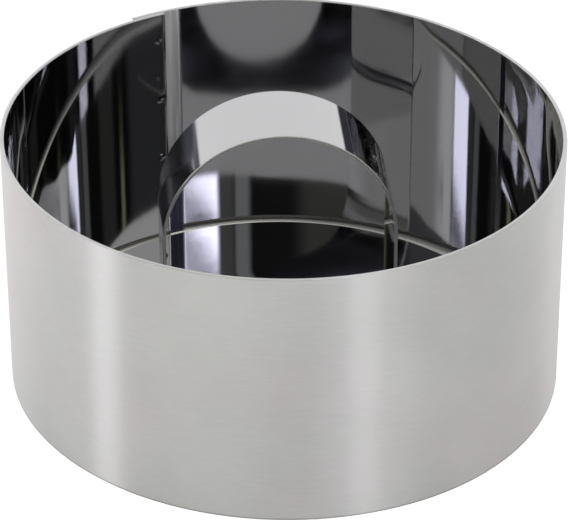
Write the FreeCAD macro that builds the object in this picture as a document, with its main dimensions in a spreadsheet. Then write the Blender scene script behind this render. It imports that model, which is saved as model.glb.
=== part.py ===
"""Round food mould: a lapped, spot-welded ring band with a loose pusher inside it.

The frame is in millimetres, +Z up. The origin is on the table in the middle of the band.
"""
import FreeCAD
import Part
import math
import os
import Sketcher

# Driving dimensions, in millimetres and degrees
SIZES = {
    # ring band: a strip rolled to four tangent arcs, its far end lapped over its near end
    "ring_across": 80.0,        # mean outside diameter
    "ring_tall": 40.0,          # width of the strip, which stands on edge
    "band_gauge": 0.6,          # thickness of the strip
    "roll_spread": 1.6,         # how far the two roll radii lie from the mean radius
    "lap_long": 5.0,            # how far the outer end runs over the inner end
    "lap_gap": 0.05,            # hairline between the lapped layers
    "lap_bearing": 114.5,       # where the lap lies, counter-clockwise from +X
    "weld_rows": 4,             # spot welds up the lap
    "weld_margin": 4.6,         # first and last weld from the rims
    "weld_inset": 1.0,          # welds from the inner end of the strip
    "weld_across": 1.2,         # diameter of each weld
    "weld_dent": 0.05,          # depth of the mark that the electrode leaves
    "rim_break": 0.1,           # broken edge of the sheet
    # pusher plate: a loose disc on the table
    "plate_clear": 0.5,         # plate to band where the band is narrowest
    "plate_gauge": 0.6,
    # pusher handle: a strap bent over an arch, its feet welded to the plate
    "strap_wide": 13.0,
    "strap_gauge": 0.5,
    "handle_span": 34.0,        # outside width over the two legs
    "handle_proud": 2.7,        # how far the arch stands above the band
    "foot_bend": 1.2,           # inside radius where each leg turns out to its foot
    "foot_long": 8.0,           # flat length of each foot
    "foot_corner": 2.0,         # rounded corners of each foot
    "foot_weld_pitch": 6.4,     # between the two welds of a foot
    "strap_break": 0.1,         # broken edge of the strap
    # where the pusher lies in the band
    "pusher_turn": 4.5,
    "pusher_shift": 0.9,        # along the long axis of the band
}

SURFACE_TOLERANCE = 1e-4

doc = FreeCAD.newDocument("RoundFoodMould")
sheet = doc.addObject("Spreadsheet::Sheet", "sizes")
for row, (alias, value) in enumerate(SIZES.items(), start=1):
    sheet.set(f"A{row}", alias)
    sheet.set(f"B{row}", str(value))
    sheet.setAlias(f"B{row}", alias)
doc.recompute()

# Worked-out sizes, as expressions of the sheet's cells
MEAN_RADIUS = "sizes.ring_across / 2"
LAP_STEP = "(sizes.band_gauge + sizes.lap_gap)"
TIGHT_RADIUS = f"({MEAN_RADIUS} - sizes.roll_spread)"
BAND_SHORT_HALF = f"({MEAN_RADIUS} - (sqrt(2) - 1) * sizes.roll_spread)"
PLATE_RADIUS = f"({BAND_SHORT_HALF} - sizes.band_gauge - sizes.plate_clear)"
ARCH_RADIUS = "(sizes.handle_span / 2)"
ARCH_HEIGHT = f"(sizes.ring_tall + sizes.handle_proud - {ARCH_RADIUS})"
FOOT_WELD_X = f"({ARCH_RADIUS} + sizes.foot_bend + sizes.foot_long / 2)"
DENT_SPHERE = (
    "((sizes.weld_across^2 / 4 + sizes.weld_dent^2) / (2 * sizes.weld_dent))"
)

# Point positions on a sketch element, as the constraints number them
START = 1
END = 2
CENTRE = 3
ORIGIN = -1
UPRIGHT_AXIS = -2


def make_body(name):
    """A part body whose label names its file."""
    body = doc.addObject("PartDesign::Body", name)
    body.Label = name
    return body


def origin_plane(body, role):
    """One of the body's own three planes."""
    for feature in body.Origin.OriginFeatures:
        if feature.Role == role:
            return feature
    raise RuntimeError(f"{body.Label} has no {role}")


def make_sketch(body, name, role):
    """An empty sketch on one of the body's own planes."""
    sketch = body.newObject("Sketcher::SketchObject", name)
    sketch.AttachmentSupport = [(origin_plane(body, role), "")]
    sketch.MapMode = "FlatFace"
    return sketch


def arc(centre, radius, start_deg, end_deg):
    """A counter-clockwise arc in the sketch plane."""
    circle = Part.Circle(FreeCAD.Vector(*centre, 0), FreeCAD.Vector(0, 0, 1), radius)
    return Part.ArcOfCircle(circle, math.radians(start_deg), math.radians(end_deg))


def line(start, end):
    return Part.LineSegment(FreeCAD.Vector(*start, 0), FreeCAD.Vector(*end, 0))


def bind(sketch, kind, *where, to):
    """Add one dimension whose value is an expression of the sheet's cells."""
    index = sketch.addConstraint(Sketcher.Constraint(kind, *where, 1.0))
    sketch.setExpression(f"Constraints[{index}]", to)


def tie(sketch, kind, *where):
    """Add one relation without a value."""
    sketch.addConstraint(Sketcher.Constraint(kind, *where))


def dress_edges(body, kind, name, wanted, size):
    """Round or break the edges of the body's last feature that pass the test."""
    doc.recompute()
    base = body.Tip
    names = [
        f"Edge{number}"
        for number, edge in enumerate(base.Shape.Edges, start=1)
        if wanted(edge)
    ]
    dressing = body.newObject(f"PartDesign::{kind}", name)
    dressing.Base = (base, names)
    dressing.setExpression("Radius" if kind == "Fillet" else "Size", size)
    body.Tip = dressing
    return dressing


def lies_flat_at(height):
    """A test for edges that lie wholly at one height."""

    def test(edge):
        box = edge.BoundBox
        low = abs(box.ZMin - height) < SURFACE_TOLERANCE
        high = abs(box.ZMax - height) < SURFACE_TOLERANCE
        return low and high

    return test


def place_primitive(body, kind, name, centre, turn=None):
    """A primitive feature of the body, its centre given by three expressions."""
    primitive = body.newObject(kind, name)
    primitive.AttachmentSupport = [(origin_plane(body, "XY_Plane"), "")]
    primitive.MapMode = "FlatFace"
    if turn is not None:
        primitive.AttachmentOffset = FreeCAD.Placement(FreeCAD.Vector(), turn)
    for axis, expression in zip("xyz", centre):
        primitive.setExpression(f"AttachmentOffset.Base.{axis}", expression)
    body.Tip = primitive
    return primitive


def dent(body, name, centre):
    """The shallow dished mark of one spot weld, cut by a large sphere."""
    sphere = place_primitive(body, "PartDesign::SubtractiveSphere", name, centre)
    sphere.setExpression("Radius", DENT_SPHERE)
    return sphere


# Ring band
def ring_section(body):
    """The strip on edge, seen from above.

    Four quarter arcs alternate between a tight and a wide radius. Each centre lies on the
    line through its neighbour and their common joint, so the strip stays smooth. The last
    two arcs are half a lap step wider, which carries the outer end clear of the inner one.
    """
    sketch = make_sketch(body, "ring_section", "XY_Plane")
    mean = SIZES["ring_across"] / 2
    spread = SIZES["roll_spread"]
    gauge = SIZES["band_gauge"]
    half_step = (gauge + SIZES["lap_gap"]) / 2
    centres = [
        (spread, spread),
        (spread, -spread),
        (half_step - spread, -spread),
        (half_step - spread, spread),
    ]
    radii = [
        mean - spread,
        mean + spread,
        mean - spread + half_step,
        mean + spread + half_step,
    ]
    lap_deg = math.degrees(math.asin(SIZES["lap_long"] / radii[3]))
    for inset in (0, gauge):
        for quarter, (centre, radius) in enumerate(zip(centres, radii)):
            first = 90 * quarter
            last = first + 90 + (lap_deg if quarter == 3 else 0)
            sketch.addGeometry(arc(centre, radius - inset, first, last))
    outside = [0, 1, 2, 3]
    inside = [4, 5, 6, 7]
    spread_x = ["sizes.roll_spread", "sizes.roll_spread"]
    spread_x += [f"{LAP_STEP} / 2 - sizes.roll_spread"] * 2
    for quarter, element in enumerate(outside):
        bind(sketch, "DistanceX", ORIGIN, START, element, CENTRE, to=spread_x[quarter])
        side = "sizes.roll_spread" if quarter in (0, 3) else "-sizes.roll_spread"
        bind(sketch, "DistanceY", ORIGIN, START, element, CENTRE, to=side)
    for outer, inner in zip(outside, inside):
        tie(sketch, "Coincident", outer, CENTRE, inner, CENTRE)
    for chain in (outside, inside):
        tie(sketch, "Horizontal", chain[0], CENTRE, chain[0], START)
        tie(sketch, "Vertical", chain[0], CENTRE, chain[0], END)
        for before, after in zip(chain, chain[1:]):
            tie(sketch, "Coincident", before, END, after, START)
        tie(sketch, "Horizontal", chain[1], CENTRE, chain[1], END)
        tie(sketch, "Vertical", chain[2], CENTRE, chain[2], END)
    bind(sketch, "Radius", outside[0], to=TIGHT_RADIUS)
    bind(sketch, "Radius", inside[0], to=f"{TIGHT_RADIUS} - sizes.band_gauge")
    bind(sketch, "DistanceY", outside[3], CENTRE, outside[3], END, to="sizes.lap_long")
    inner_end = sketch.addGeometry(
        line((mean, spread), (mean - gauge, spread))
    )
    tie(sketch, "Coincident", inner_end, START, outside[0], START)
    tie(sketch, "Coincident", inner_end, END, inside[0], START)
    cosine = math.cos(math.radians(lap_deg))
    tip = [
        (centres[3][0] + reach * cosine, centres[3][1] + reach * SIZES["lap_long"] / radii[3])
        for reach in (radii[3], radii[3] - gauge)
    ]
    outer_end = sketch.addGeometry(line(*tip))
    tie(sketch, "Coincident", outer_end, START, outside[3], END)
    tie(sketch, "Coincident", outer_end, END, inside[3], END)
    tie(sketch, "PointOnObject", outside[3], CENTRE, outer_end)
    return sketch


def ring_band():
    """The rolled strip with its broken rims, weld nuggets and weld marks."""
    body = make_body("ring_band")
    pad = body.newObject("PartDesign::Pad", "ring_strip")
    pad.Profile = ring_section(body)
    pad.setExpression("Length", "sizes.ring_tall")
    body.Tip = pad
    for name, height in (("lower_rim", 0), ("upper_rim", SIZES["ring_tall"])):
        dress_edges(body, "Chamfer", name, lies_flat_at(height), "sizes.rim_break")

    weld_y = "sizes.roll_spread + sizes.weld_inset"
    inner_face = f"(sizes.roll_spread + sqrt(({TIGHT_RADIUS} - sizes.band_gauge)^2 - sizes.weld_inset^2))"
    wide_radius = f"({MEAN_RADIUS} + sizes.roll_spread + {LAP_STEP} / 2)"
    outer_face = (
        f"({LAP_STEP} / 2 - sizes.roll_spread + sqrt({wide_radius}^2 - sizes.weld_inset^2))"
    )
    sunk = f"({DENT_SPHERE} - sizes.weld_dent)"
    across = FreeCAD.Rotation(FreeCAD.Vector(0, 1, 0), 90)
    rows = int(SIZES["weld_rows"])
    for row in range(rows):
        share = row / max(rows - 1, 1)
        height = f"sizes.weld_margin + {share} * (sizes.ring_tall - 2 * sizes.weld_margin)"
        start = f"{inner_face} + sizes.band_gauge / 2"
        nugget = place_primitive(
            body,
            "PartDesign::AdditiveCylinder",
            f"weld_nugget_{row + 1}",
            (start, weld_y, height),
            across,
        )
        nugget.setExpression("Radius", "sizes.weld_across / 2")
        nugget.setExpression("Height", LAP_STEP)
        dent(body, f"inside_mark_{row + 1}", (f"{inner_face} - {sunk}", weld_y, height))
        dent(body, f"outside_mark_{row + 1}", (f"{outer_face} + {sunk}", weld_y, height))
    body.setExpression("Placement.Rotation.Angle", "sizes.lap_bearing * 1deg")
    return body


def place_pusher(body):
    """Turn and shift a piece of the pusher to where it lies in the band."""
    long_axis = "(sizes.lap_bearing + 45) * 1deg"
    body.setExpression("Placement.Rotation.Angle", "sizes.pusher_turn * 1deg")
    body.setExpression("Placement.Base.x", f"sizes.pusher_shift * cos({long_axis})")
    body.setExpression("Placement.Base.y", f"sizes.pusher_shift * sin({long_axis})")


def foot_welds():
    """The places of the four foot welds, with a name for each."""
    for side, sign in (("left", "-"), ("right", "")):
        for end, share in (("near", -0.5), ("far", 0.5)):
            yield f"{side}_{end}", f"{sign}{FOOT_WELD_X}", f"{share} * sizes.foot_weld_pitch"


# Pusher plate
def pusher_plate():
    """A disc with broken edges and the weld marks on its underside."""
    body = make_body("pusher_plate")
    outline = make_sketch(body, "plate_outline", "XY_Plane")
    circle = Part.Circle(FreeCAD.Vector(), FreeCAD.Vector(0, 0, 1), SIZES["ring_across"] / 2)
    outline.addGeometry(circle)
    tie(outline, "Coincident", 0, CENTRE, ORIGIN, START)
    bind(outline, "Radius", 0, to=PLATE_RADIUS)
    pad = body.newObject("PartDesign::Pad", "plate_disc")
    pad.Profile = outline
    pad.setExpression("Length", "sizes.plate_gauge")
    body.Tip = pad
    for name, height in (("under_rim", 0), ("upper_rim", SIZES["plate_gauge"])):
        dress_edges(body, "Chamfer", name, lies_flat_at(height), "sizes.rim_break")
    for name, x_place, y_place in foot_welds():
        dent(body, f"mark_{name}", (x_place, y_place, f"sizes.weld_dent - {DENT_SPHERE}"))
    place_pusher(body)
    return body


# Pusher handle
def strap_section(body):
    """Half of the bent strap, seen from the front: arch, leg, bend and foot."""
    sketch = make_sketch(body, "strap_section", "XZ_Plane")
    gauge = SIZES["strap_gauge"]
    reach = SIZES["handle_span"] / 2
    arch_z = SIZES["ring_tall"] + SIZES["handle_proud"] - reach
    bend = SIZES["foot_bend"]
    bend_x = reach + bend
    bend_z = SIZES["plate_gauge"] + gauge + bend
    tip_x = bend_x + SIZES["foot_long"]
    top_z = SIZES["plate_gauge"] + gauge
    arch_out = sketch.addGeometry(arc((0, arch_z), reach, 0, 90))
    leg_out = sketch.addGeometry(line((reach, arch_z), (reach, bend_z)))
    bend_out = sketch.addGeometry(arc((bend_x, bend_z), bend, 180, 270))
    foot_top = sketch.addGeometry(line((bend_x, top_z), (tip_x, top_z)))
    foot_tip = sketch.addGeometry(line((tip_x, top_z), (tip_x, top_z - gauge)))
    foot_sole = sketch.addGeometry(line((tip_x, top_z - gauge), (bend_x, top_z - gauge)))
    bend_in = sketch.addGeometry(arc((bend_x, bend_z), bend + gauge, 180, 270))
    leg_in = sketch.addGeometry(line((reach - gauge, bend_z), (reach - gauge, arch_z)))
    arch_in = sketch.addGeometry(arc((0, arch_z), reach - gauge, 0, 90))
    crown = sketch.addGeometry(line((0, arch_z + reach - gauge), (0, arch_z + reach)))
    tie(sketch, "Tangent", arch_out, START, leg_out, START)
    tie(sketch, "Tangent", leg_out, END, bend_out, START)
    tie(sketch, "Tangent", bend_out, END, foot_top, START)
    tie(sketch, "Coincident", foot_top, END, foot_tip, START)
    tie(sketch, "Coincident", foot_tip, END, foot_sole, START)
    tie(sketch, "Tangent", foot_sole, END, bend_in, END)
    tie(sketch, "Tangent", bend_in, START, leg_in, START)
    tie(sketch, "Tangent", leg_in, END, arch_in, START)
    tie(sketch, "Coincident", arch_in, END, crown, START)
    tie(sketch, "Coincident", crown, END, arch_out, END)
    tie(sketch, "Coincident", arch_out, CENTRE, arch_in, CENTRE)
    tie(sketch, "Coincident", bend_out, CENTRE, bend_in, CENTRE)
    tie(sketch, "PointOnObject", arch_out, CENTRE, UPRIGHT_AXIS)
    tie(sketch, "PointOnObject", arch_out, END, UPRIGHT_AXIS)
    tie(sketch, "PointOnObject", arch_in, END, UPRIGHT_AXIS)
    tie(sketch, "Vertical", leg_out)
    tie(sketch, "Vertical", leg_in)
    tie(sketch, "Horizontal", foot_top)
    tie(sketch, "Horizontal", foot_sole)
    tie(sketch, "Vertical", foot_tip)
    bind(sketch, "Radius", arch_out, to=ARCH_RADIUS)
    bind(sketch, "Radius", arch_in, to=f"{ARCH_RADIUS} - sizes.strap_gauge")
    bind(sketch, "Radius", bend_out, to="sizes.foot_bend")
    bind(sketch, "DistanceY", ORIGIN, START, arch_out, CENTRE, to=ARCH_HEIGHT)
    bind(sketch, "DistanceY", ORIGIN, START, foot_sole, START, to="sizes.plate_gauge")
    bind(sketch, "DistanceX", foot_top, START, foot_top, END, to="sizes.foot_long")
    return sketch


def is_foot_corner(edge):
    """The upright edges at the tips of the feet."""
    box = edge.BoundBox
    tip_x = SIZES["handle_span"] / 2 + SIZES["foot_bend"] + SIZES["foot_long"]
    at_tip = abs(abs(box.Center.x) - tip_x) < SURFACE_TOLERANCE
    return at_tip and box.YLength < SURFACE_TOLERANCE


def is_side_edge(edge):
    """The long edges down both sides of the strap."""
    box = edge.BoundBox
    side_y = SIZES["strap_wide"] / 2
    at_side = abs(abs(box.Center.y) - side_y) < SURFACE_TOLERANCE
    return at_side and edge.Length > 2 * SIZES["strap_gauge"]


def pusher_handle():
    """The strap: half of it padded to both sides, then mirrored over the crown."""
    body = make_body("pusher_handle")
    pad = body.newObject("PartDesign::Pad", "half_strap")
    pad.Profile = strap_section(body)
    pad.Midplane = True
    pad.setExpression("Length", "sizes.strap_wide")
    body.Tip = pad
    doc.recompute()
    whole = body.newObject("PartDesign::Mirrored", "whole_strap")
    whole.Originals = [pad]
    whole.MirrorPlane = (origin_plane(body, "YZ_Plane"), [""])
    body.Tip = whole
    dress_edges(body, "Fillet", "foot_corners", is_foot_corner, "sizes.foot_corner")
    dress_edges(body, "Chamfer", "strap_edges", is_side_edge, "sizes.strap_break")
    for name, x_place, y_place in foot_welds():
        top = f"sizes.plate_gauge + sizes.strap_gauge - sizes.weld_dent + {DENT_SPHERE}"
        dent(body, f"mark_{name}", (x_place, y_place, top))
    place_pusher(body)
    return body


def check_document():
    """Stop on any feature that failed to build."""
    doc.recompute()
    for feature in doc.Objects:
        if "Invalid" in feature.State or "Error" in feature.State:
            raise RuntimeError(f"{feature.Name} failed: {feature.State}")


def check_solid(body):
    """Stop unless the body is one valid solid."""
    shape = body.Shape
    if shape.isNull() or not shape.isValid() or len(shape.Solids) != 1:
        raise RuntimeError(f"{body.Label} is not one valid solid")


bodies = [ring_band(), pusher_plate(), pusher_handle()]
check_document()
for body in bodies:
    check_solid(body)

os.makedirs("parts", exist_ok=True)
for body in bodies:
    body.Shape.exportStep(f"parts/{body.Label}.step")
    box = body.Shape.BoundBox
    extents = ", ".join(f"{length:.2f}" for length in (box.XLength, box.YLength, box.ZLength))
    print(f"{body.Label}: {body.Shape.Volume:.1f} mm3, {extents} mm")
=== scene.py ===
import math
from collections import namedtuple

import bpy
from mathutils import Matrix, Vector

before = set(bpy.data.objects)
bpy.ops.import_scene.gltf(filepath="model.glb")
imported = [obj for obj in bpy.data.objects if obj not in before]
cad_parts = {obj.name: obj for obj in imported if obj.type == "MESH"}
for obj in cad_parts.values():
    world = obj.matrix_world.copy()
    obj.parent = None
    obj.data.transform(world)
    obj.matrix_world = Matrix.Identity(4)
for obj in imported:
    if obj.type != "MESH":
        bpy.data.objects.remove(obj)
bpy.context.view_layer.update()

# Lengths and places below are in metres, and angles in degrees. A bearing counts counter-clockwise
# from +X, as seen from above.

# Camera: the photograph's place, direction and field of view. Its lens and sensor are in millimetres.
CAMERA_PLACE = (0.0, -0.42074, 0.28753)
CAMERA_YAW = 0.021
CAMERA_DOWN = 32.644
CAMERA_ROLL = -0.207
CAMERA_LENS = 215.79
CAMERA_SENSOR = 36.0
CAMERA_NEAREST = 0.01

# Floor: a wide disc that glows for the camera and for metal. In metal it is dimmer at the foot of the
# band than farther out, a painted contact shadow, and dimmer on the right than on the left, painted
# side shade.
# Its soft edges are a share of the sheet's thickness or of the gap's width.
FLOOR_REACH = 3.0
FLOOR_RIM_POINTS = 96
FLOOR_COLOUR = (0.86, 0.86, 0.86, 1.0)
FLOOR_GLOW_SEEN = 0.72
FLOOR_GLOWS_IN_METAL = (0.50, 0.66)
FLOOR_SHADE_REACH = 0.048
FLOOR_SIDES = (-0.1, 0.1)
FLOOR_SIDE_SHADE_SHARES = (1.08, 0.9)
FLOOR_SOFT = 0.1

# Strip of floor seen through the gap between band and disc, which glows beige: painted light. It falls
# off to the right.
GAP_WIDE = 0.0006
GAP_SIDES = (-0.008, 0.016)
GAP_PAINTED_GLOWS = (0.28, 0.08)
GAP_PAINTED_COLOUR = (1.0, 0.97, 0.84, 1.0)

# The band's sheet runs over four arcs, by turns tight and wide. Along the lap and across it, their
# centres lie as far off the axis as their radii differ from the mean. The last two arcs are half of
# the lap's step wider.
BAND_SHEET = 0.0006
BAND_RADIUS = 0.04
BAND_SPREAD = 0.0016
LAP_BEARING = 114.5
LAP_HALF_STEP = 0.000325

# The mesh's normal gives way to the true one of the arcs where they differ by less than these angles
TRUE_WITHIN = (3.0, 1.8)

# Low down beside its lap the sheet lies flatter: the bearings over which that sets in, where it ends,
# the heights at which it has gone and is full, and how far the sheet's face turns
FLAT_RISE = (72, 99)
FLAT_END = 117
FLAT_HEIGHTS = (0.017, 0.010)
FLAT_TURN = -6.5

# Uneven stretches of the far wall: the bearings where each starts, peaks and ends, and its turn there
Wave = namedtuple("Wave", "start peak end turn")
WAVES = [
    Wave(54, 59.5, 73, 2.5),
    Wave(102, 113, 117, -1.25),
    Wave(116.9, 117.2, 128, 1.6),
]

# Random patterns: grain, blotches and clouds, from plain to detailed. Below, each is given by how many
# spots it has to the metre along each axis.
GRAIN_DETAIL = 1.0
BLOTCH_DETAIL = 2.0
CLOUD_DETAIL = 3.0
CLOUD_RANGE = (0.3, 0.7)

# Outside of the band: level grain, faint blotches and a dark line of painted shade along the foot
SATIN_GRAIN = (420.0, 420.0, 3600.0)
SATIN_BLOTCHES = (45.0, 45.0, 70.0)
SATIN_BLOTCH_RANGE = (0.38, 0.62)
SATIN_GREENISH = ((0.575, 0.58, 0.562, 1.0), (0.635, 0.64, 0.622, 1.0))
SATIN_BROWNISH = ((0.595, 0.575, 0.567, 1.0), (0.655, 0.635, 0.627, 1.0))
SATIN_ROUGHNESS = (0.34, 0.38)
SATIN_DEPTH = 0.000002
SATIN_ANISOTROPY = 1.0
SATIN_ANISOTROPY_TURN = 0.25
FOOT_SHADE_HEIGHTS = (0.0001, 0.0005)
FOOT_SHADE_SHARES = (0.55, 1.0)

# Inside of the band: mirror bright, with faint clouds of wear
MIRROR_CLOUDS = (60.0, 60.0, 60.0)
MIRROR_COLOURS = ((0.525, 0.525, 0.525, 1.0), (0.535, 0.535, 0.54, 1.0))
MIRROR_ROUGHNESS = (0.02, 0.035)
MIRROR_DEPTH = 0.00001

# The strip of the inside beside the cut edge of the lap, with a painted reflection: the bearings over
# which it sets in, where it ends, and the heights over which it goes from dark to light
LAP_STRIP_RISE = (112.6, 113.6)
LAP_STRIP_END = 116.83
LAP_STRIP_HEIGHTS = (0.008, 0.02)
LAP_STRIP_PAINTED_COLOURS = ((0.08, 0.08, 0.12, 1.0), (0.9, 0.9, 0.9, 1.0))
LAP_STRIP_ROUGHNESS = 0.42
STREAKS = (1600.0, 1600.0, 60.0)
STREAK_RANGE = (0.35, 0.65)
STREAK_SHARES = (0.8, 1.1)

# Bare sheared metal. A face of the band or disc counts as cut below a cosine between its normal and
# the sheet's, and a face of the strap above a cosine between its normal and the strap's width.
CUT_ROUGHNESS = 0.5
BAND_CUT_COLOURS = ((0.82, 0.82, 0.81, 1.0), (0.92, 0.92, 0.91, 1.0))
BAND_CUT_BELOW = 0.9
PLATE_CUT_BELOW = 0.9
STRAP_CUT_ABOVE = 0.5
PUSHER_CUT_TINT = (1.0, 0.99, 0.94)

# Pusher: bright sheet and strap with faint clouds of wear, how far it is turned, and how far its disc
# is from level
BRIGHT_CLOUDS = (90.0, 90.0, 90.0)
BRIGHT_GRAIN = (900.0, 900.0, 900.0)
BRIGHT_SHARES = (0.98, 1.02)
BRIGHT_ROUGHNESS = (0.025, 0.045)
BRIGHT_DEPTH = 0.000005
PLATE_LEVEL = 0.53
# The disc's cut rim is set darker than the strap's cut edges: painted shade of the narrow gap where it
# lies
PLATE_CUT_SHADED_LEVELS = (0.3, 0.4)
PLATE_LEAN = -0.185
STRAP_LEVEL = 0.56
STRAP_CUT_LEVELS = (0.66, 0.8)
PUSHER_TURN = 4.5

# The hollow side of the strap's bend and its left shoulder are dulled, and darkened with a bluish
# painted shade
ARCH_CENTRE = (-0.00084, 0.000315, 0.0257)
DULL_AND_SHADE_HEIGHTS = (0.030, 0.036)
DULL_ROUGHNESS = 0.25
PAINTED_SHADE_COLOUR = (0.45, 0.46, 0.56, 1.0)
SHOULDER_SIDES = (-0.0115, -0.0145)
SHOULDER_DULL_AND_SHADE_SHARE = 0.65

# Studio, as metal sees it. An azimuth of 0 is behind the mold, 90 to its right and 180 at the camera.
# Each card has two sides, their softness, their lean for each degree of height over the lean level,
# a lower and an upper end, the softness of these, a colour and a strength.
PLAIN_LIGHT = 0.5
ROOM_GLOWS = (0.66, 0.015)
ROOM_FADE = (14, 24)
OVERHEAD_GLOW = 0.9
OVERHEAD_FADE = (42, 58)
LEAN_LEVEL = 31
Card = namedtuple("Card", "sides soft lean ends end_soft colour strength")
STUDIO_CARDS = [
    Card((-66, 62), 3, 0.0, (-30, 64), 8, (0.995, 0.99, 1.01), 1.0),
    Card((62, 132), 5, 0.0, (24, 64), 3, (1.0, 1.0, 1.0), 0.7),
    Card((62, 132), 5, 0.0, (-30, 20), 3, (1.0, 1.0, 0.98), 0.3),
    Card((-165, -116), 6, 0.0, (-30, 20), 3, (1.0, 0.99, 0.97), 0.77),
    Card((17, 50), 2, 0.0, (-6, 7.3), 0.8, (0.9, 0.95, 1.1), 0.05),
    Card((-44, -28), 2, 0.0, (-6, 5.5), 1.0, (0.9, 0.95, 1.1), 0.12),
    Card((-97, -62), 6, 0.0, (-30, 20), 3, (1.0, 1.0, 1.0), 0.85),
    Card((-114, -103), 2.5, 0.0, (-10, 20), 3, (0.98, 0.98, 1.03), 4.6),
    Card((134, 147), 3, 0.0, (-10, 18), 4, (0.99, 0.99, 1.02), 1.2),
    Card((147, 157.5), 2.5, 0.0, (-10, 20), 3, (0.98, 0.98, 1.03), 3.0),
    Card((134, 156), 9, 0.2, (28.6, 35), 0.8, (1.0, 0.99, 1.02), 1.5),
    Card((153, 168.5), 1.2, 0.38, (28.6, 35), 0.8, (0.9, 0.89, 1.1), 4.6),
    Card((129, 147.6), 2.5, 16.0, (31.35, 35), 0.1, (0.85, 0.82, 1.1), 0.08),
    Card((143, 151), 1.5, 0.2, (31.35, 35), 0.1, (1.0, 0.99, 1.02), 1.5),
    Card((168.5, 174.5), 1.5, 0.38, (28.6, 35), 0.8, (0.95, 1.0, 0.95), 0.12),
    Card((175.5, 186), 1.0, 0.0, (28.6, 35), 0.8, (0.97, 1.0, 1.02), 0.3),
    Card((-186, -178.5), 1.5, 0.0, (28.6, 35), 0.8, (0.97, 1.0, 1.02), 0.3),
    Card((-163, -147), 3, 0.0, (24, 35), 2, (1.0, 1.0, 0.95), 0.08),
    Card((-139.5, -135.5), 1.5, 0.0, (30.9, 35), 0.7, (0.95, 1.0, 0.65), 0.5),
    Card((-128, -98), 4, 0.0, (24, 35), 2, (0.95, 0.97, 1.05), 0.09),
    Card((-91, -78), 2, 0.6, (28, 35), 1.5, (0.92, 0.91, 1.08), 4.0),
]

# Reflections followed from wall to wall
MOST_BOUNCES = 24
MOST_GLOSSY_BOUNCES = 20


def radians(*degrees):
    return [math.radians(angle) for angle in degrees]


def grey(value):
    return (value, value, value, 1.0)


class Graph:
    """Adds shader nodes to one material or world and links them."""

    def __init__(self, owner):
        owner.use_nodes = True
        self.tree = owner.node_tree
        self.tree.nodes.clear()

    def add(self, kind, values=None, **settings):
        node = self.tree.nodes.new(kind)
        for name, value in settings.items():
            setattr(node, name, value)
        for socket, value in (values or {}).items():
            self.feed(value, node.inputs[socket])
        return node

    def feed(self, value, socket):
        if isinstance(value, bpy.types.NodeSocket):
            self.tree.links.new(value, socket)
        else:
            socket.default_value = value

    def math(self, operation, *values):
        node = self.add("ShaderNodeMath", operation=operation)
        for socket, value in zip(node.inputs, values):
            self.feed(value, socket)
        return node.outputs[0]

    def product(self, first, second):
        return self.math("MULTIPLY", first, second)

    def opposite(self, share):
        return self.math("SUBTRACT", 1.0, share)

    def vector(self, operation, *values):
        node = self.add("ShaderNodeVectorMath", operation=operation)
        sockets = [node.inputs[0], node.inputs["Scale"]] if operation == "SCALE" else node.inputs
        for socket, value in zip(sockets, values):
            self.feed(value, socket)
        is_number = operation in ("DOT_PRODUCT", "LENGTH")
        return node.outputs["Value" if is_number else "Vector"]

    def split(self, vector):
        return tuple(self.add("ShaderNodeSeparateXYZ", {0: vector}).outputs)

    def rotate(self, vector, axis, angle):
        values = {"Vector": vector, "Angle": angle}
        node = self.add("ShaderNodeVectorRotate", values, rotation_type=f"{axis}_AXIS")
        return node.outputs[0]

    def ramp(self, value, low, high, out_low=0.0, out_high=1.0):
        """Smooth change from one output to the other while the value goes from low to high."""
        values = {0: value, 1: low, 2: high, 3: out_low, 4: out_high}
        node = self.add("ShaderNodeMapRange", values, interpolation_type="SMOOTHSTEP")
        return node.outputs[0]

    def step(self, value, edge, soft):
        return self.ramp(value, edge - soft, edge + soft)

    def between(self, value, low, high, soft):
        rise = self.step(value, low, soft)
        fall = self.step(value, high, -soft)
        return self.product(rise, fall)

    def mix(self, amount, first, second):
        """Mix of two colours. The node's first sockets are for numbers, so these go by their places."""
        values = {0: amount, 6: first, 7: second}
        return self.add("ShaderNodeMix", values, data_type="RGBA").outputs[2]

    def blend(self, amount, first, second):
        """Mix of two numbers."""
        values = {0: amount, 2: first, 3: second}
        return self.add("ShaderNodeMix", values, data_type="FLOAT").outputs[0]

    def noise(self, place, fineness, detail):
        """Soft random pattern between 0 and 1."""
        values = {"Vector": self.vector("MULTIPLY", place, fineness), "Scale": 1.0, "Detail": detail}
        return self.add("ShaderNodeTexNoise", values).outputs[0]

    def choose(self, amount, first, second):
        """Mix of two shaders."""
        values = {0: amount, 1: first.outputs[0], 2: second.outputs[0]}
        return self.add("ShaderNodeMixShader", values)

    def steel(self, colour, roughness, relief):
        values = {"Base Color": colour, "Metallic": 1.0, "Roughness": roughness, "Normal": relief}
        metal = self.add("ShaderNodeBsdfPrincipled", values)
        self.add("ShaderNodeOutputMaterial", {"Surface": metal.outputs[0]})
        return metal


def make_camera():
    yaw, down, roll = radians(CAMERA_YAW, CAMERA_DOWN, CAMERA_ROLL)
    data = bpy.data.cameras.new("camera")
    data.lens = CAMERA_LENS
    data.sensor_width = CAMERA_SENSOR
    data.clip_start = CAMERA_NEAREST
    camera = bpy.data.objects.new("camera", data)
    bpy.context.scene.collection.objects.link(camera)
    level = math.cos(down)
    ahead = Vector((level * math.sin(yaw), level * math.cos(yaw), -math.sin(down)))
    right = ahead.cross(Vector((0, 0, 1))).normalized()
    up = right.cross(ahead)
    turned_right = right * math.cos(roll) + up * math.sin(roll)
    turned_up = up * math.cos(roll) - right * math.sin(roll)
    turn = Matrix((turned_right, turned_up, -ahead)).transposed().to_4x4()
    camera.matrix_world = Matrix.Translation(CAMERA_PLACE) @ turn
    bpy.context.scene.camera = camera


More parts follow.
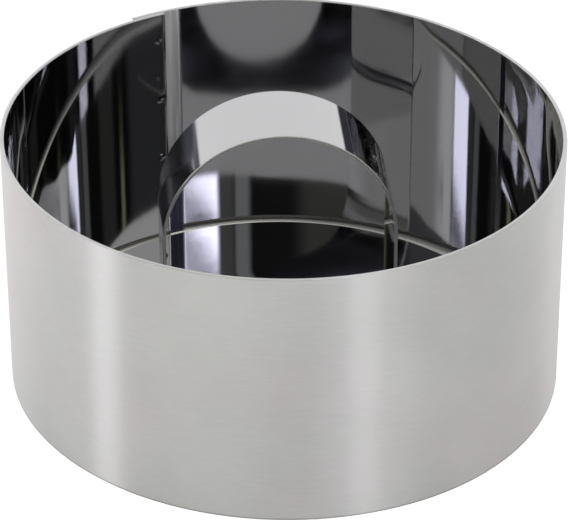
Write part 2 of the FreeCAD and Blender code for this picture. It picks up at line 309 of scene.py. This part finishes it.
def rolled_spoke(graph, place):
    """The line to a place from the centre of its rolled arc, turned so that the lap lies along X, and
    how far outside the sheet the place is."""
    turned = graph.rotate(place, "Z", -math.radians(LAP_BEARING))
    across, along, height = graph.split(turned)
    near_side = LAP_HALF_STEP - BAND_SPREAD
    right = graph.math("GREATER_THAN", across, 0.0)
    upper = graph.math("GREATER_THAN", along, 0.0)
    is_right = graph.math("GREATER_THAN", across, graph.blend(upper, near_side, BAND_SPREAD))
    is_upper = graph.math("GREATER_THAN", along, graph.blend(right, -BAND_SPREAD, BAND_SPREAD))
    centre = graph.add("ShaderNodeCombineXYZ", {
        "X": graph.blend(is_upper, near_side, BAND_SPREAD),
        "Y": graph.blend(is_right, -BAND_SPREAD, BAND_SPREAD),
        "Z": height,
    })
    spoke = graph.vector("SUBTRACT", turned, centre.outputs[0])
    is_wide = graph.math("ABSOLUTE", graph.math("SUBTRACT", is_upper, is_right))
    radius = graph.blend(is_wide, BAND_RADIUS - BAND_SPREAD, BAND_RADIUS + BAND_SPREAD)
    radius = graph.math("ADD", radius, graph.blend(is_upper, LAP_HALF_STEP, 0.0))
    return spoke, graph.math("SUBTRACT", graph.vector("LENGTH", spoke), radius)


def rolled_normal(graph, place, outside):
    """The true normal of the four rolled arcs, where the mesh's own is off by a facet or less."""
    spoke = rolled_spoke(graph, place)[0]
    outward = graph.rotate(graph.vector("NORMALIZE", spoke), "Z", math.radians(LAP_BEARING))
    true_normal = graph.vector("SCALE", outward, graph.blend(outside, -1.0, 1.0))
    mesh_normal = graph.add("ShaderNodeNewGeometry").outputs["Normal"]
    likeness = graph.vector("DOT_PRODUCT", mesh_normal, true_normal)
    unlike, alike = [math.cos(angle) for angle in radians(*TRUE_WITHIN)]
    return graph.mix(graph.ramp(likeness, unlike, alike), mesh_normal, true_normal)


def floor_glow(graph, path):
    """Glow of the open floor, dimmed in metal by a painted contact shadow, and painted light on the
    strip of floor in the gap between band and disc.
    """
    place = graph.add("ShaderNodeTexCoord").outputs["Object"]
    sideways = graph.split(place)[0]
    past_sheet = rolled_spoke(graph, place)[1]
    # Painted contact shadow and side shade: in metal the floor's glow is dimmer near the band's foot
    # and on the right
    in_metal = graph.ramp(past_sheet, 0.0, FLOOR_SHADE_REACH, *FLOOR_GLOWS_IN_METAL)
    in_metal = graph.product(in_metal, graph.ramp(sideways, *FLOOR_SIDES, *FLOOR_SIDE_SHADE_SHARES))
    on_open_floor = graph.blend(path["Is Camera Ray"], in_metal, FLOOR_GLOW_SEEN)
    gap_share = graph.step(past_sheet, -BAND_SHEET - GAP_WIDE, FLOOR_SOFT * GAP_WIDE)
    # Painted light: the strip of floor in the gap glows beige
    gap_painted_light = graph.product(gap_share, graph.ramp(sideways, *GAP_SIDES, *GAP_PAINTED_GLOWS))
    is_open = graph.step(past_sheet, -BAND_SHEET / 2, FLOOR_SOFT * BAND_SHEET)
    strength = graph.blend(is_open, gap_painted_light, on_open_floor)
    colour = graph.mix(is_open, GAP_PAINTED_COLOUR, grey(1.0))
    return graph.add("ShaderNodeEmission", {"Color": colour, "Strength": strength})


def make_floor():
    ring = []
    for step in range(FLOOR_RIM_POINTS):
        angle = 2 * math.pi * step / FLOOR_RIM_POINTS
        ring.append((FLOOR_REACH * math.cos(angle), FLOOR_REACH * math.sin(angle), 0.0))
    mesh = bpy.data.meshes.new("floor")
    mesh.from_pydata(ring, [], [list(range(FLOOR_RIM_POINTS))])
    floor = bpy.data.objects.new("floor", mesh)
    bpy.context.scene.collection.objects.link(floor)
    material = bpy.data.materials.new("floor_white")
    graph = Graph(material)
    path = graph.add("ShaderNodeLightPath").outputs
    diffuse = graph.add("ShaderNodeBsdfDiffuse", {"Color": FLOOR_COLOUR})
    glow = floor_glow(graph, path)
    both = graph.add("ShaderNodeAddShader", {0: diffuse.outputs[0], 1: glow.outputs[0]})
    seen = graph.math("MAXIMUM", path["Is Camera Ray"], path["Is Glossy Ray"])
    shown = graph.choose(seen, diffuse, both)
    graph.add("ShaderNodeOutputMaterial", {"Surface": shown.outputs[0]})
    mesh.materials.append(material)


def studio_light(graph):
    """Colour of the studio in each direction: the room, the light overhead, and the cards."""
    direction = graph.add("ShaderNodeTexCoord").outputs["Generated"]
    right, back, up = graph.split(direction)
    azimuth = graph.math("ARCTAN2", right, back)
    height = graph.math("ARCSINE", up)
    room = graph.ramp(height, *radians(*ROOM_FADE), *ROOM_GLOWS)
    glow = graph.blend(graph.ramp(height, *radians(*OVERHEAD_FADE)), room, OVERHEAD_GLOW)
    light = graph.add("ShaderNodeCombineColor", {0: glow, 1: glow, 2: glow}).outputs[0]
    over_level = graph.math("SUBTRACT", height, math.radians(LEAN_LEVEL))
    for card in STUDIO_CARDS:
        upright = graph.math("SUBTRACT", azimuth, graph.product(over_level, card.lean))
        across = graph.between(upright, *radians(*card.sides, card.soft))
        along = graph.between(height, *radians(*card.ends, card.end_soft))
        colour = tuple(card.strength * part for part in card.colour) + (1.0,)
        light = graph.mix(graph.product(across, along), light, colour)
    return light


def make_world():
    """White to the camera, the studio to metal, and plain even light to everything else."""
    world = bpy.data.worlds.new("studio")
    bpy.context.scene.world = world
    graph = Graph(world)
    path = graph.add("ShaderNodeLightPath").outputs
    studio = graph.add("ShaderNodeBackground", {"Color": studio_light(graph)})
    plain = graph.add("ShaderNodeBackground", {"Color": grey(1.0), "Strength": PLAIN_LIGHT})
    white = graph.add("ShaderNodeBackground", {"Color": grey(1.0)})
    in_metal = graph.math("MAXIMUM", path["Is Glossy Ray"], path["Is Transmission Ray"])
    lit = graph.choose(in_metal, plain, studio)
    shown = graph.choose(path["Is Camera Ray"], lit, white)
    graph.add("ShaderNodeOutputWorld", {"Surface": shown.outputs[0]})


def satin_colour(graph, place, height, grain):
    """Grained outside of the band, greenish and brownish in blotches, with a dark line of painted shade
    at its foot.
    """
    blotches = graph.ramp(graph.noise(place, SATIN_BLOTCHES, BLOTCH_DETAIL), *SATIN_BLOTCH_RANGE)
    greenish = graph.mix(grain, *SATIN_GREENISH)
    brownish = graph.mix(grain, *SATIN_BROWNISH)
    satin = graph.mix(blotches, greenish, brownish)
    # Painted shade: the colour darkens towards the foot
    return graph.vector("SCALE", satin, graph.ramp(height, *FOOT_SHADE_HEIGHTS, *FOOT_SHADE_SHARES))


def lap_strip_painted_colour(graph, place, height):
    """Streaked strip of the inside, with a painted reflection: dark low down and light higher up."""
    streaks = graph.ramp(graph.noise(place, STREAKS, GRAIN_DETAIL), *STREAK_RANGE, *STREAK_SHARES)
    colour = graph.mix(graph.ramp(height, *LAP_STRIP_HEIGHTS), *LAP_STRIP_PAINTED_COLOURS)
    return graph.vector("SCALE", colour, streaks)


def sector(graph, bearing, rise, end):
    """Sets in softly over two bearings and ends sharply at the lap's cut edge."""
    before_end = graph.math("LESS_THAN", bearing, math.radians(end))
    return graph.product(graph.ramp(bearing, *radians(*rise)), before_end)


def uneven_turn(graph, bearing, height, inside):
    """How far the rolled sheet's inner face turns from its even shape."""
    low_down = graph.ramp(height, *FLAT_HEIGHTS)
    flat = graph.product(sector(graph, bearing, FLAT_RISE, FLAT_END), low_down)
    turn = graph.product(flat, math.radians(FLAT_TURN))
    for wave in WAVES:
        start, peak, end, most = radians(*wave)
        share = graph.product(graph.ramp(bearing, start, peak), graph.ramp(bearing, end, peak))
        turn = graph.math("MULTIPLY_ADD", share, most, turn)
    return graph.product(turn, inside)


def make_band_steel():
    """Satin with a level grain outside, mirror bright inside, bare sheared metal on rims and ends."""
    material = bpy.data.materials.new("band_steel")
    graph = Graph(material)
    coordinates = graph.add("ShaderNodeTexCoord").outputs
    place = coordinates["Object"]
    x, y, height = graph.split(place)
    bearing = graph.math("ARCTAN2", y, x)
    ray = graph.vector("NORMALIZE", graph.vector("MULTIPLY", place, (1.0, 1.0, 0.0)))
    outward = graph.vector("DOT_PRODUCT", coordinates["Normal"], ray)
    outside = graph.math("GREATER_THAN", outward, 0.0)
    is_cut = graph.math("LESS_THAN", graph.math("ABSOLUTE", outward), BAND_CUT_BELOW)
    in_lap_strip = sector(graph, bearing, LAP_STRIP_RISE, LAP_STRIP_END)
    grain = graph.noise(place, SATIN_GRAIN, GRAIN_DETAIL)
    clouds = graph.noise(place, MIRROR_CLOUDS, CLOUD_DETAIL)

    satin = satin_colour(graph, place, height, grain)
    mirror = graph.mix(clouds, *MIRROR_COLOURS)
    # Painted reflection beside the lap's cut edge, dark low down and light higher up
    mirror = graph.mix(in_lap_strip, mirror, lap_strip_painted_colour(graph, place, height))
    faces = graph.mix(outside, mirror, satin)
    colour = graph.mix(is_cut, faces, graph.mix(grain, *BAND_CUT_COLOURS))

    satin_roughness = graph.ramp(clouds, *CLOUD_RANGE, *SATIN_ROUGHNESS)
    mirror_roughness = graph.ramp(clouds, *CLOUD_RANGE, *MIRROR_ROUGHNESS)
    mirror_roughness = graph.blend(in_lap_strip, mirror_roughness, LAP_STRIP_ROUGHNESS)
    roughness = graph.blend(outside, mirror_roughness, satin_roughness)
    roughness = graph.blend(is_cut, roughness, CUT_ROUGHNESS)

    turn = uneven_turn(graph, bearing, height, graph.opposite(outside))
    normal = graph.rotate(rolled_normal(graph, place, outside), "Z", turn)
    relief = graph.add("ShaderNodeBump", {
        "Height": graph.blend(outside, clouds, grain),
        "Distance": graph.blend(outside, MIRROR_DEPTH, SATIN_DEPTH),
        "Normal": normal,
    })
    around = graph.add("ShaderNodeTangent", direction_type="RADIAL", axis="Z")
    steel = graph.steel(colour, roughness, relief.outputs[0])
    graph.feed(around.outputs[0], steel.inputs["Tangent"])
    graph.feed(SATIN_ANISOTROPY, steel.inputs["Anisotropic"])
    graph.feed(SATIN_ANISOTROPY_TURN, steel.inputs["Anisotropic Rotation"])
    return material


def make_bright_steel(name, level, cut_levels, is_cut, is_dull_and_shaded=None, lean=None):
    """Mirror bright faces with faint clouds of wear, and bare sheared metal on the edges."""
    material = bpy.data.materials.new(name)
    graph = Graph(material)
    coordinates = graph.add("ShaderNodeTexCoord").outputs
    place, facing = coordinates["Object"], coordinates["Normal"]
    clouds = graph.noise(place, BRIGHT_CLOUDS, CLOUD_DETAIL)
    grain = graph.noise(place, BRIGHT_GRAIN, GRAIN_DETAIL)
    colour = graph.mix(clouds, *[grey(share * level) for share in BRIGHT_SHARES])
    roughness = graph.ramp(clouds, *CLOUD_RANGE, *BRIGHT_ROUGHNESS)
    if is_dull_and_shaded:
        dull_and_shaded = is_dull_and_shaded(graph, place, facing)
        # Painted shade: a darker bluish colour where the mask is set
        colour = graph.mix(dull_and_shaded, colour, PAINTED_SHADE_COLOUR)
        roughness = graph.blend(dull_and_shaded, roughness, DULL_ROUGHNESS)
    cut = is_cut(graph, facing)
    cut_colours = [tuple(share * part for part in PUSHER_CUT_TINT) + (1.0,) for share in cut_levels]
    colour = graph.mix(cut, colour, graph.mix(grain, *cut_colours))
    roughness = graph.blend(cut, roughness, CUT_ROUGHNESS)
    relief = graph.add("ShaderNodeBump", {"Height": clouds, "Distance": BRIGHT_DEPTH})
    if lean:
        normal = graph.add("ShaderNodeNewGeometry").outputs["Normal"]
        graph.feed(graph.rotate(normal, "X", math.radians(lean)), relief.inputs["Normal"])
    graph.steel(colour, roughness, relief.outputs[0])
    return material


def plate_is_cut(graph, facing):
    """The disc's rim, whose face isn't level."""
    upright = graph.vector("DOT_PRODUCT", facing, (0.0, 0.0, 1.0))
    return graph.math("LESS_THAN", graph.math("ABSOLUTE", upright), PLATE_CUT_BELOW)


def strap_is_cut(graph, facing):
    """The strap's two side edges, which face along its width."""
    turn = math.radians(PUSHER_TURN)
    sideways = graph.vector("DOT_PRODUCT", facing, (-math.sin(turn), math.cos(turn), 0.0))
    return graph.math("GREATER_THAN", graph.math("ABSOLUTE", sideways), STRAP_CUT_ABOVE)


def strap_is_dull_and_shaded(graph, place, facing):
    """The hollow side of the bend and its left shoulder: dulled, and darkened with a bluish painted
    shade.
    """
    from_centre = graph.vector("SUBTRACT", place, ARCH_CENTRE)
    inward = graph.math("LESS_THAN", graph.vector("DOT_PRODUCT", facing, from_centre), 0.0)
    sideways, _, height = graph.split(place)
    hollow = graph.product(inward, graph.ramp(height, *DULL_AND_SHADE_HEIGHTS))
    shoulder = graph.ramp(sideways, *SHOULDER_SIDES, 0.0, SHOULDER_DULL_AND_SHADE_SHARE)
    shoulder = graph.product(graph.opposite(inward), shoulder)
    return graph.math("ADD", hollow, shoulder)


make_camera()
make_floor()
make_world()
steels = {
    "ring_band": make_band_steel(),
    "pusher_plate": make_bright_steel(
        "plate_steel", PLATE_LEVEL, PLATE_CUT_SHADED_LEVELS, plate_is_cut, lean=PLATE_LEAN
    ),
    "pusher_handle": make_bright_steel(
        "strap_steel", STRAP_LEVEL, STRAP_CUT_LEVELS, strap_is_cut, is_dull_and_shaded=strap_is_dull_and_shaded
    ),
}
for name, steel in steels.items():
    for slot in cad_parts[name].material_slots:
        slot.material = steel

scene = bpy.context.scene
scene.view_settings.view_transform = "Standard"
scene.cycles.max_bounces = MOST_BOUNCES
scene.cycles.glossy_bounces = MOST_GLOSSY_BOUNCES
